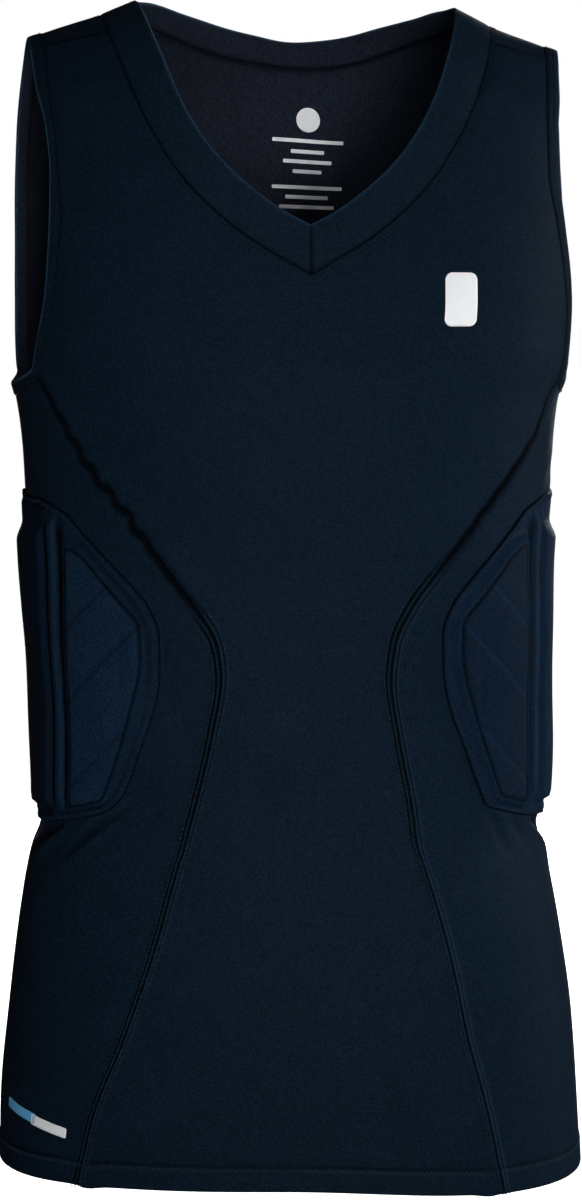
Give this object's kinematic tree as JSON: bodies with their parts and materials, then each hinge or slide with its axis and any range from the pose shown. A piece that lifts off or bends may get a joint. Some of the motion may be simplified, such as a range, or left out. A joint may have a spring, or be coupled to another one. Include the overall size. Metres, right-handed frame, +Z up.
{
  "type": "padded compression shirt",
  "caption": "Sleeveless V-neck compression shirt, worn hollow shape, with curved side panels and moulded foam pads over the lower ribs.",
  "frame": {"origin": "midway between the shoulders, at the height of the shoulder seams; the wearer holds the shirt up", "axes": "+Z up, -Y the way the front faces, +X the wearer's left"},
  "size_m": [0.3567, 0.2319, 0.7044],
  "materials": {
    "jersey": "fine smooth stretch knit, dark navy, soft sheen",
    "binding": "folded stretch knit, dark navy, soft sheen",
    "padding": "stretch knit moulded over foam, dark navy, soft sheen"
  },
  "bodies": {
    "root": {"front": "jersey", "back": "jersey", "side_left": "jersey", "side_right": "jersey", "pad_left": "padding", "pad_right": "padding", "armband_left": "binding", "armband_right": "binding", "neckband": "binding"}
  },
  "joints": []
}
